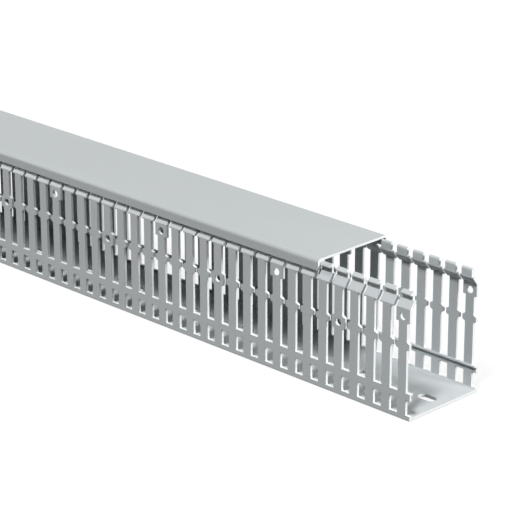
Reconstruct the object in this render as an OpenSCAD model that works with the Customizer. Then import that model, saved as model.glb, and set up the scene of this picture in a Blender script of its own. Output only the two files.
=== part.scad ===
// Slotted wire duct with its clip-on cover.
// The duct is one PVC profile, 60 x 80 mm with its cover on, extruded along X and
// then punched: open finger slots in both side walls and mounting slots in the floor.
// X runs along the duct, Y across it, Z up. The origin is the centre of the underside.

/* [Duct] */
// Length of the duct and of its cover
duct_len = 1000; // [200:12.5:1200]
// Outer width of the duct and of the cover
duct_w = 60; // [40:1:120]
// Height from the underside to the top of the cover
duct_h = 80; // [76:1:120]
// Thickness of the side walls
wall_t = 1.8; // [1.4:0.1:2.2]
// Thickness of the floor
floor_t = 2; // [1.5:0.1:2.4]
// Radius of the fillet between the floor and the walls
floor_fillet = 0.9; // [0.3:0.1:1]
// Radius of the lower outer edges
base_edge_r = 0.8; // [0.3:0.1:1.5]

/* [Fingers] */
// Distance from one finger to the next
pitch = 12.5; // [12:0.5:20]
// Width of the open slot between two finger stems
slot_w = 6.25; // [5:0.25:7]
// Height of the closed bottom of the slots
slot_z = 17; // [16:0.5:30]
// Gap between two retaining bumps
bump_gap = 2.2; // [1.5:0.1:3.5]
// Height of the middle of the retaining bumps
bump_z = 45.7; // [42:0.1:50]
// Height of a retaining bump at its tips
bump_tip_h = 3; // [2:0.2:4]
// Gap between two tee heads
tee_gap = 2.2; // [1.6:0.2:4.4]
// Gap between two fingers above the shoulder, where the cover clips on
head_gap = 4.75; // [4.5:0.25:5]
// Height of a tee head from its underside to the shoulder
tee_h = 0.8; // [0.4:0.2:2]
// Slope height under the tee heads and round the bumps
flare_h = 1.1; // [0.5:0.1:1.5]

/* [Tie holes] */
// Diameter of the tie holes
tie_d = 4.5; // [3:0.25:5]
// Fingers from one hole of a row to the next of the same row
tie_step = 8; // [4:2:12]
// Height of the upper row of tie holes
tie_z = 63.5; // [60:0.5:64]
// Material left under and over a tie hole
tie_rim = 1.2; // [1:0.1:1.6]

/* [Break-off lines] */
// Bottom edge of the lower windows
window_z = 3.2; // [3.1:0.1:5]
// Height of the lower windows
window_h = 9.3; // [6:0.1:9.5]
// Depth of the rib along the inner edge of the slot bottoms
rib_d = 1.2; // [0.5:0.1:1.2]
// Height of that rib
rib_h = 1; // [0.6:0.1:1.4]
// Depth of the score under the rib, where the upper wall breaks off
score_d = 0.8; // [0.3:0.1:0.8]

/* [Snap edge] */
// Thickness of the fingers above the shoulder
neck_t = 1.8; // [1.2:0.1:2]
// Height of the sloped shoulder
shoulder_h = 4.5; // [3.5:0.1:5]
// Height of the neck between the shoulder and the bead
neck_h = 2.5; // [2.2:0.1:3.5]
// Depth of the bead that the cover snaps over
bead_d = 1.7; // [1.2:0.1:2]
// Height of the bead
bead_h = 2.7; // [2.4:0.1:3.2]
// Height of the undercut below the bead's nose
bead_undercut_h = 0.5; // [0.3:0.1:0.8]
// Height of the bead's upright nose
bead_nose_h = 0.7; // [0.4:0.1:1]
// Depth of the ramp above the nose, which leads the cover on
bead_ramp_d = 2; // [1.2:0.1:2.2]
// Radius of the inner edge along the tops of the fingers
head_r = 1.2; // [0.5:0.1:1.2]

/* [Floor slots] */
// Length of a mounting slot, end to end
mount_slot_len = 12.5; // [10:0.5:20]
// Width of a mounting slot
mount_slot_w = 7; // [4.5:0.5:8]
// Distance from one mounting slot to the next
mount_pitch = 50; // [25:12.5:100]
// Distance from the right end to the first mounting slot
mount_first = 12.5; // [12.5:12.5:50]

/* [Cover] */
// Thickness of the cover
cover_t = 1.5; // [1.2:0.1:1.8]
// Height of the cover's side lips
lip_h = 7.2; // [7:0.1:8]
// Outer radius along the cover's long edges
cover_r = 2.5; // [2:0.1:4]
// Length of duct that the cover leaves open at the right end
cover_back = 72.5; // [0:0.5:150]
// Clearance between the cover and the snap edge
cover_gap = 0.3; // [0.2:0.05:0.4]
// Depth of the hook along the lips
hook_d = 1.5; // [1:0.1:1.6]
// Height of the hook's flat tip
hook_tip_h = 0.5; // [0.3:0.1:0.8]

/* [Hidden] */
$fn = 48;
eps = 1;

// Snap edge, from the top of the cover down
wall_top = duct_h - cover_t - cover_gap;
bead_z = wall_top - bead_h;
nose_z = bead_z + bead_undercut_h;
neck_z = bead_z - neck_h;
shoulder_z = neck_z - shoulder_h;
tee_z = shoulder_z - tee_h;

// Distances inwards from the wall's outer face
bead_in = cover_t + cover_gap;
neck_in = bead_in + bead_d;
head_in = neck_in + neck_t;

// Fingers
count = floor(duct_len / pitch);
stem_w = pitch - slot_w;
bump_w = pitch - bump_gap;
tee_w = pitch - tee_gap;
head_w = pitch - head_gap;
tie_pad_h = tie_d + 2 * tie_rim;
row_end = count * pitch / 2;
mount_count = floor((duct_len - mount_first - mount_slot_len / 2) / mount_pitch) + 1;

// Place of finger i along the duct, counted from the right end
function finger_x(i) = row_end - (i + 0.5) * pitch;
// Which fingers have a tie hole, in the upper row and at the bumps
function tie_above(i) = i % tie_step == 0;
function tie_at_bump(i) = i % tie_step == tie_step / 2;

// Half of the duct's section, right of the middle: Y is the outline's first axis
module half_section() {
    side = duct_w / 2;
    slope = shoulder_h / neck_in;
    inner_drop = 0.4 * wall_t;
    difference() {
        polygon([
            [0, 0],
            [side, 0],
            [side, shoulder_z],
            [side - neck_in, neck_z],
            [side - neck_in, bead_z],
            [side - bead_in, nose_z],
            [side - bead_in, nose_z + bead_nose_h],
            [side - bead_in - bead_ramp_d, wall_top],
            [side - head_in, wall_top],
            [side - head_in, neck_z - inner_drop],
            [side - wall_t, neck_z - inner_drop - slope * (head_in - wall_t)],
            [side - wall_t, slot_z],
            [side - wall_t - rib_d, slot_z],
            [side - wall_t - rib_d, slot_z - rib_h],
            [side - wall_t, slot_z - rib_h],
            [side - wall_t + score_d, slot_z - rib_h - score_d],
            [side - wall_t, slot_z - rib_h - 2 * score_d],
            [side - wall_t, floor_t + floor_fillet],
            [side - wall_t - floor_fillet, floor_t],
            [0, floor_t]
        ]);
        translate([side - base_edge_r, 0]) corner(base_edge_r);
        translate([side - head_in + head_r, wall_top]) mirror([1, 0]) mirror([0, 1]) corner(head_r);
    }
    translate([side - wall_t - floor_fillet, floor_t]) corner(floor_fillet);
}

// Square corner, lower right, that a radius leaves over
module corner(r) {
    difference() {
        square(r);
        translate([0, r]) circle(r);
    }
}

// Outline of finger i from the floor up, with its tee head and retaining bump
module finger_outline(i) {
    translate([-stem_w / 2, 0]) square([stem_w, duct_h]);
    flared(bump_w, bump_z, tie_at_bump(i) ? tie_pad_h : bump_tip_h);
    tee_bottom = tie_above(i) ? tie_z - tie_pad_h / 2 : tee_z;
    translate([-tee_w / 2, tee_bottom]) square([tee_w, neck_z - tee_bottom]);
    translate([-head_w / 2, tee_bottom]) square([head_w, duct_h - tee_bottom]);
}

// A pad wider than the stem: full width over the height h, sloped above and below
module flared(w, z, h) {
    polygon([
        [-stem_w / 2, z - h / 2 - flare_h],
        [stem_w / 2, z - h / 2 - flare_h],
        [w / 2, z - h / 2],
        [w / 2, z + h / 2],
        [stem_w / 2, z + h / 2 + flare_h],
        [-stem_w / 2, z + h / 2 + flare_h],
        [-w / 2, z + h / 2],
        [-w / 2, z - h / 2]
    ]);
}

// Everything punched out of the side walls, seen from the front
module wall_punching() {
    difference() {
        translate([-duct_len / 2 - eps, slot_z]) square([duct_len + 2 * eps, duct_h]);
        for (i = [0 : count - 1])
            translate([finger_x(i), 0]) finger_outline(i);
    }
    for (i = [0 : count])
        translate([row_end - i * pitch - slot_w / 2, window_z]) square([slot_w, window_h]);
    for (i = [0 : count - 1])
        if (tie_above(i) || tie_at_bump(i))
            translate([finger_x(i), tie_above(i) ? tie_z : bump_z]) circle(d = tie_d);
}

// One elongated mounting slot
module mount_slot() {
    reach = (mount_slot_len - mount_slot_w) / 2;
    square([2 * reach, mount_slot_w], center = true);
    for (side = [-1, 1])
        translate([side * reach, 0]) circle(d = mount_slot_w);
}

// Lay a section drawn in Y and Z along the duct
module along(len) {
    translate([-len / 2, 0, 0]) rotate([90, 0, 90]) linear_extrude(len) children();
}

module duct() {
    color("lightgray")
    difference() {
        along(duct_len) {
            half_section();
            mirror([1, 0]) half_section();
        }
        translate([0, duct_w / 2 + eps, 0]) rotate([90, 0, 0])
            linear_extrude(duct_w + 2 * eps) wall_punching();
        for (i = [0 : mount_count - 1])
            translate([duct_len / 2 - mount_first - i * mount_pitch, 0, -eps])
                linear_extrude(floor_t + 2 * eps) mount_slot();
    }
}

// Half of the cover's section, right of the middle
module half_cover() {
    side = duct_w / 2;
    lip_z = duct_h - lip_h;
    hook_top = bead_z - cover_gap;
    difference() {
        translate([0, lip_z]) square([side, lip_h]);
        translate([-eps, lip_z - eps]) square([side - cover_t + eps, lip_h - cover_t + eps]);
        translate([side - cover_r, duct_h]) mirror([0, 1]) corner(cover_r);
    }
    translate([side - cover_t - (cover_r - cover_t), duct_h - cover_t])
        mirror([0, 1]) corner(cover_r - cover_t);
    polygon([
        [side - cover_t / 2, lip_z],
        [side - cover_t / 2, hook_top],
        [side - cover_t - hook_d, hook_top],
        [side - cover_t - hook_d, hook_top - hook_tip_h],
        [side - cover_t, lip_z]
    ]);
}

module cover() {
    color("silver")
    translate([-cover_back, 0, 0])
        along(duct_len) {
            half_cover();
            mirror([1, 0]) half_cover();
        }
}

duct();
cover();
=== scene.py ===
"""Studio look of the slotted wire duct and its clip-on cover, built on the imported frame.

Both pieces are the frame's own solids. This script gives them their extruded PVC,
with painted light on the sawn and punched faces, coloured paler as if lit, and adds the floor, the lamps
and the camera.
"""

import math

import bpy
from mathutils import Matrix, Vector


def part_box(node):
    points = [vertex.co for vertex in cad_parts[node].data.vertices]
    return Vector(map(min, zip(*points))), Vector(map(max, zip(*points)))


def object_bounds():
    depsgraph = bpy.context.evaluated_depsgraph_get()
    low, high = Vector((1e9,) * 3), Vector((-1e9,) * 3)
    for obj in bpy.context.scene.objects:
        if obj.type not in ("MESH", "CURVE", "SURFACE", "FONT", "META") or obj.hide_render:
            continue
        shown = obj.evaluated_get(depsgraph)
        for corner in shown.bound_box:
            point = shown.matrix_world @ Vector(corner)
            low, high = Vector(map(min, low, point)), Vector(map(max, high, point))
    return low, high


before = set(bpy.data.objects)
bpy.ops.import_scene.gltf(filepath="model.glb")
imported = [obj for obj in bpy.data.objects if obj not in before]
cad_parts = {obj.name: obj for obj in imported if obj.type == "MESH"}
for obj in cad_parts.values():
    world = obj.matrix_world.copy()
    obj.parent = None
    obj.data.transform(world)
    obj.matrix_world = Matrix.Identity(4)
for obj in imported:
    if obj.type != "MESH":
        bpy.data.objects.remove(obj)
cad_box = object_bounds()

# Colours, as linear values
DUCT_GREY = (0.475, 0.505, 0.515)
COVER_GREY = (0.43, 0.455, 0.463)
# Painted light: the pale colour below goes on the sawn and punched faces to stand for the light they
# catch from the lamps
PAINTED_LIGHT_PALE = (0.76, 0.78, 0.78)

# Faces that get painted light, a paler colour as if lit, and more roughness: how squarely they face
# along the duct, how little across it, and where the walls and the floor begin, a little inside their
# faces
END_FACING = 0.3
ACROSS_FACING = 0.2
WALL_INNER = 0.0281
FLOOR_TOP = 0.0025

# PVC: noise scale per metre, and its stretch along each axis
DIE_LINES = (900.0, (0.004, 1.0, 1.0))
MOTTLING = (22.0, (0.35, 1.0, 1.0))
GRAIN = (1500.0, (1.0, 1.0, 1.0))
GRAIN_DEPTH = 0.3
BUMP_STRENGTH = 0.25
BUMP_DISTANCE = 0.00004
PVC_IOR = 1.46
# Roughness of the skin, and what a cut adds to it
DUCT_ROUGHNESS = 0.5
COVER_ROUGHNESS = 0.42
CUT_ROUGHNESS = 0.2
# Depth of the die lines, as a share of the bump distance
DUCT_LINE_DEPTH = 1.0
COVER_LINE_DEPTH = 0.6
# Radius that the light finds along the edges
EDGE_SOFTNESS = 0.0003

# Camera: its angles, its distance from the point it looks at, and its focal length in image widths
CAMERA_AZIMUTH = 44.915
CAMERA_ELEVATION = 20.59
CAMERA_ROLL = -0.085
CAMERA_DISTANCE = 1.482
FOCAL_WIDTHS = 4.6942
SENSOR_MM = 36
AIM_BEFORE_END = 0.15193
AIM_HEIGHT = 0.05231

# Suns: name, direction that the light comes from, strength, and apparent size in degrees
SUNS = (
    ("key", (0.16, -0.46, 0.87), 3.3, 12.0),
    ("fill", (-0.94, -0.27, 0.20), 1.4, 8.0),
    ("back", (0.94, 0.25, 0.24), 1.5, 4.0),
)
# Panel lamp beyond the open end, with its power in watts
PANEL_BEYOND_END = 0.5
PANEL_SIDE = 0.12
PANEL_HEIGHT = 0.28
PANEL_WIDTH = 0.12
PANEL_POWER = 2.0

# World: its light on the object, and the white that gloss mirrors
AMBIENT = 0.006
SEEN_IN_GLOSS = 0.75

# Floor: the light it sends back, how dark its shadow is, its width and the gap under the duct
FLOOR_BOUNCE = 0.02
FLOOR_SHADOW = 0.12
FLOOR_SIZE = 30.0
FLOOR_GAP = 0.0004


def direction(azimuth, elevation):
    """Unit vector towards a camera at this azimuth and elevation, in degrees."""
    turn = math.radians(azimuth)
    lift = math.radians(elevation)
    return Vector((
        math.sin(turn) * math.cos(lift),
        -math.cos(turn) * math.cos(lift),
        math.sin(lift),
    ))


def make_camera():
    """Camera at the photograph's angle, aimed at a point a little before the open end."""
    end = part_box("duct")[1].x
    aim = Vector((end - AIM_BEFORE_END, 0, AIM_HEIGHT))
    away = direction(CAMERA_AZIMUTH, CAMERA_ELEVATION)
    right = (-away).cross(Vector((0, 0, 1))).normalized()
    up = right.cross(-away)
    level = Matrix((right, up, away)).transposed()
    rolled = level @ Matrix.Rotation(math.radians(CAMERA_ROLL), 3, "Z")
    data = bpy.data.cameras.new("camera")
    data.sensor_width = SENSOR_MM
    data.lens = FOCAL_WIDTHS * SENSOR_MM
    camera = bpy.data.objects.new("camera", data)
    camera.matrix_world = Matrix.Translation(aim + away * CAMERA_DISTANCE) @ rolled.to_4x4()
    bpy.context.collection.objects.link(camera)
    bpy.context.scene.camera = camera


class Nodes:
    """Short calls for building a node tree."""

    def __init__(self, tree):
        self.tree = tree
        tree.nodes.clear()

    def add(self, kind, inputs=None, **settings):
        """New node; inputs are values or sockets by name or index."""
        made = self.tree.nodes.new(kind)
        for name, value in settings.items():
            setattr(made, name, value)
        for name, value in (inputs or {}).items():
            self.set(made.inputs[name], value)
        return made

    def set(self, socket, value):
        """Links a socket to another one, or gives it a plain value."""
        if isinstance(value, bpy.types.NodeSocket):
            self.tree.links.new(value, socket)
        else:
            socket.default_value = value

    def math(self, operation, first, second=0.0):
        """Result of one sum or comparison."""
        made = self.add("ShaderNodeMath", {0: first, 1: second}, operation=operation)
        return made.outputs[0]

    def ramp(self, value, low, high, to_low=0.0, to_high=1.0):
        """Maps low..high to to_low..to_high, held at both ends."""
        inputs = {"Value": value, "From Min": low, "From Max": high, "To Min": to_low, "To Max": to_high}
        return self.add("ShaderNodeMapRange", inputs).outputs[0]

    def mix(self, share, first, second):
        """Mix of two colours, which are inputs 6 and 7 and output 2 of this node."""
        made = self.add("ShaderNodeMix", {0: share, 6: first, 7: second}, data_type="RGBA")
        return made.outputs[2]

    def noise(self, place, scale, stretch, detail=3.0):
        """Noise in metres, stretched by a factor along each axis."""
        mapped = self.add("ShaderNodeMapping", {"Vector": place, "Scale": stretch}).outputs[0]
        inputs = {"Vector": mapped, "Scale": scale, "Detail": detail}
        return self.add("ShaderNodeTexNoise", inputs).outputs[0]


def colour(rgb, factor=1.0):
    """Colour with alpha, lightened or darkened by a factor."""
    return tuple(channel * factor for channel in rgb) + (1.0,)


def painted_light_rough_faces(nodes, place):
    """1 on faces that a saw or a punch has left, which get painted light and more roughness; 0 on the
    extruded skin.
    """
    normal = nodes.add("ShaderNodeNewGeometry").outputs["Normal"]
    towards = nodes.add("ShaderNodeSeparateXYZ", {0: normal})
    where = nodes.add("ShaderNodeSeparateXYZ", {0: place})
    end_face = nodes.math("GREATER_THAN", nodes.math("ABSOLUTE", towards.outputs[0]), END_FACING)
    across = nodes.math("LESS_THAN", nodes.math("ABSOLUTE", towards.outputs[1]), ACROSS_FACING)
    in_wall = nodes.math("GREATER_THAN", nodes.math("ABSOLUTE", where.outputs[1]), WALL_INNER)
    above_floor = nodes.math("GREATER_THAN", where.outputs[2], FLOOR_TOP)
    punched = nodes.math("MULTIPLY", nodes.math("MULTIPLY", across, in_wall), above_floor)
    return nodes.math("MAXIMUM", end_face, punched)


def pvc(name, grey, roughness, line_depth):
    """Extruded PVC: faint die lines along X, slight mottling, and rougher sawn and punched faces with
    painted light, a paler colour as if lit.
    """
    material = bpy.data.materials.new(name)
    material.use_nodes = True
    nodes = Nodes(material.node_tree)
    place = nodes.add("ShaderNodeTexCoord").outputs["Object"]
    # Mask of the sawn and punched faces, which carry painted light and more roughness
    painted_light_rough_mask = painted_light_rough_faces(nodes, place)
    lines = nodes.noise(place, *DIE_LINES, detail=2.0)
    cloud = nodes.noise(place, *MOTTLING)
    grain = nodes.noise(place, *GRAIN, detail=2.0)

    line_shade = nodes.ramp(lines, 0.3, 0.7, -1.0, 1.0)
    cloud_shade = nodes.ramp(cloud, 0.3, 0.7, -1.0, 1.0)
    share = nodes.ramp(nodes.math("ADD", line_shade, cloud_shade), -2.0, 2.0)
    skin = nodes.mix(share, colour(grey, 0.975), colour(grey, 1.025))
    # Painted light: the sawn and punched faces get a paler colour, with a grain, that stands for the
    # light they catch
    painted_light_colour = nodes.mix(nodes.ramp(grain, 0.3, 0.7), colour(PAINTED_LIGHT_PALE, 0.96), colour(PAINTED_LIGHT_PALE, 1.03))
    # Skin colour, with the painted light on the sawn and punched faces
    base = nodes.mix(painted_light_rough_mask, skin, painted_light_colour)

    uneven = nodes.math("ADD", lines, grain)
    rough = nodes.ramp(uneven, 0.7, 1.3, roughness - 0.04, roughness + 0.05)
    rough = nodes.math("ADD", rough, nodes.math("MULTIPLY", painted_light_rough_mask, CUT_ROUGHNESS))
    line_height = nodes.math("MULTIPLY", lines, line_depth)
    grain_height = nodes.math("MULTIPLY", grain, GRAIN_DEPTH)
    edge = nodes.add("ShaderNodeBevel", {"Radius": EDGE_SOFTNESS}, samples=4)
    bump = nodes.add("ShaderNodeBump", {
        "Strength": BUMP_STRENGTH,
        "Distance": BUMP_DISTANCE,
        "Height": nodes.math("ADD", line_height, grain_height),
        "Normal": edge.outputs[0],
    })
    shader = nodes.add("ShaderNodeBsdfPrincipled", {
        "Base Color": base,
        "Roughness": rough,
        "IOR": PVC_IOR,
        "Normal": bump.outputs[0],
    })
    nodes.add("ShaderNodeOutputMaterial", {"Surface": shader.outputs[0]})
    return material


def dress(node, material):
    """Gives a node of the frame its material, without touching the mesh."""
    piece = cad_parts[node]
    if not piece.material_slots:
        piece.data.materials.append(material)
    for slot in piece.material_slots:
        slot.material = material


def make_pieces():
    """Materials of the duct and its cover."""
    dress("duct", pvc("duct_pvc", DUCT_GREY, DUCT_ROUGHNESS, DUCT_LINE_DEPTH))
    dress("cover", pvc("cover_pvc", COVER_GREY, COVER_ROUGHNESS, COVER_LINE_DEPTH))


def hang_lamp(name, data, source):
    """Puts a lamp in the scene, turned so that its light comes from the direction source."""
    lamp = bpy.data.objects.new(name, data)
    lamp.rotation_euler = Vector(source).to_track_quat("Z", "Y").to_euler()
    bpy.context.collection.objects.link(lamp)
    return lamp


def make_lamps():
    """Three suns, and a panel that lights the open end."""
    for name, source, strength, size in SUNS:
        data = bpy.data.lights.new(name, "SUN")
        data.energy = strength
        data.angle = math.radians(size)
        hang_lamp(name, data, source)
    data = bpy.data.lights.new("rim", "AREA")
    data.energy = PANEL_POWER
    data.size = PANEL_WIDTH
    panel = hang_lamp("rim", data, (PANEL_BEYOND_END, PANEL_SIDE, PANEL_HEIGHT - AIM_HEIGHT))
    panel.location = (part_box("duct")[1].x + PANEL_BEYOND_END, PANEL_SIDE, PANEL_HEIGHT)
    panel.visible_camera = False


def seen_directly(nodes):
    """1 for rays straight from the camera or off gloss, 0 for the light that reaches the object."""
    path = nodes.add("ShaderNodeLightPath")
    gloss = nodes.math("MAXIMUM", path.outputs["Is Glossy Ray"], path.outputs["Is Transmission Ray"])
    first = nodes.math("LESS_THAN", path.outputs["Diffuse Depth"], 0.5)
    return nodes.math("MAXIMUM", path.outputs["Is Camera Ray"], nodes.math("MULTIPLY", gloss, first))


def make_world():
    """White where it is seen, and dim as a light."""
    world = bpy.data.worlds.new("studio")
    world.use_nodes = True
    bpy.context.scene.world = world
    nodes = Nodes(world.node_tree)
    seen = seen_directly(nodes)
    direct = nodes.add("ShaderNodeLightPath").outputs["Is Camera Ray"]
    shown = nodes.ramp(direct, 0.0, 1.0, SEEN_IN_GLOSS, 1.0)
    strength = nodes.math("ADD", AMBIENT, nodes.math("MULTIPLY", seen, shown))
    background = nodes.add("ShaderNodeBackground", {"Color": (1, 1, 1, 1), "Strength": strength})
    nodes.add("ShaderNodeOutputWorld", {"Surface": background.outputs[0]})


def make_floor():
    """Wide white floor that keeps a light shadow of the object."""
    half = FLOOR_SIZE / 2
    mesh = bpy.data.meshes.new("floor")
    corners = [(-half, -half, 0), (half, -half, 0), (half, half, 0), (-half, half, 0)]
    mesh.from_pydata(corners, [], [(0, 1, 2, 3)])
    floor = bpy.data.objects.new("floor", mesh)
    floor.location.z = cad_box[0].z - FLOOR_GAP
    bpy.context.collection.objects.link(floor)
    material = bpy.data.materials.new("floor_white")
    material.use_nodes = True
    nodes = Nodes(material.node_tree)
    seen = seen_directly(nodes)
    white = nodes.add("ShaderNodeEmission", {"Color": (1, 1, 1, 1), "Strength": 1.0})
    grey = nodes.ramp(seen, 0.0, 1.0, FLOOR_BOUNCE, 1.0)
    tint = nodes.add("ShaderNodeCombineColor", {0: grey, 1: grey, 2: grey})
    matt = nodes.add("ShaderNodeBsdfDiffuse", {"Color": tint.outputs[0]})
    share = nodes.math("MULTIPLY", seen, 1.0 - FLOOR_SHADOW)
    mixed = nodes.add("ShaderNodeMixShader", {0: share, 1: matt.outputs[0], 2: white.outputs[0]})
    nodes.add("ShaderNodeOutputMaterial", {"Surface": mixed.outputs[0]})
    mesh.materials.append(material)


make_camera()
make_pieces()
make_lamps()
make_world()
make_floor()
bpy.context.scene.view_settings.view_transform = "Standard"
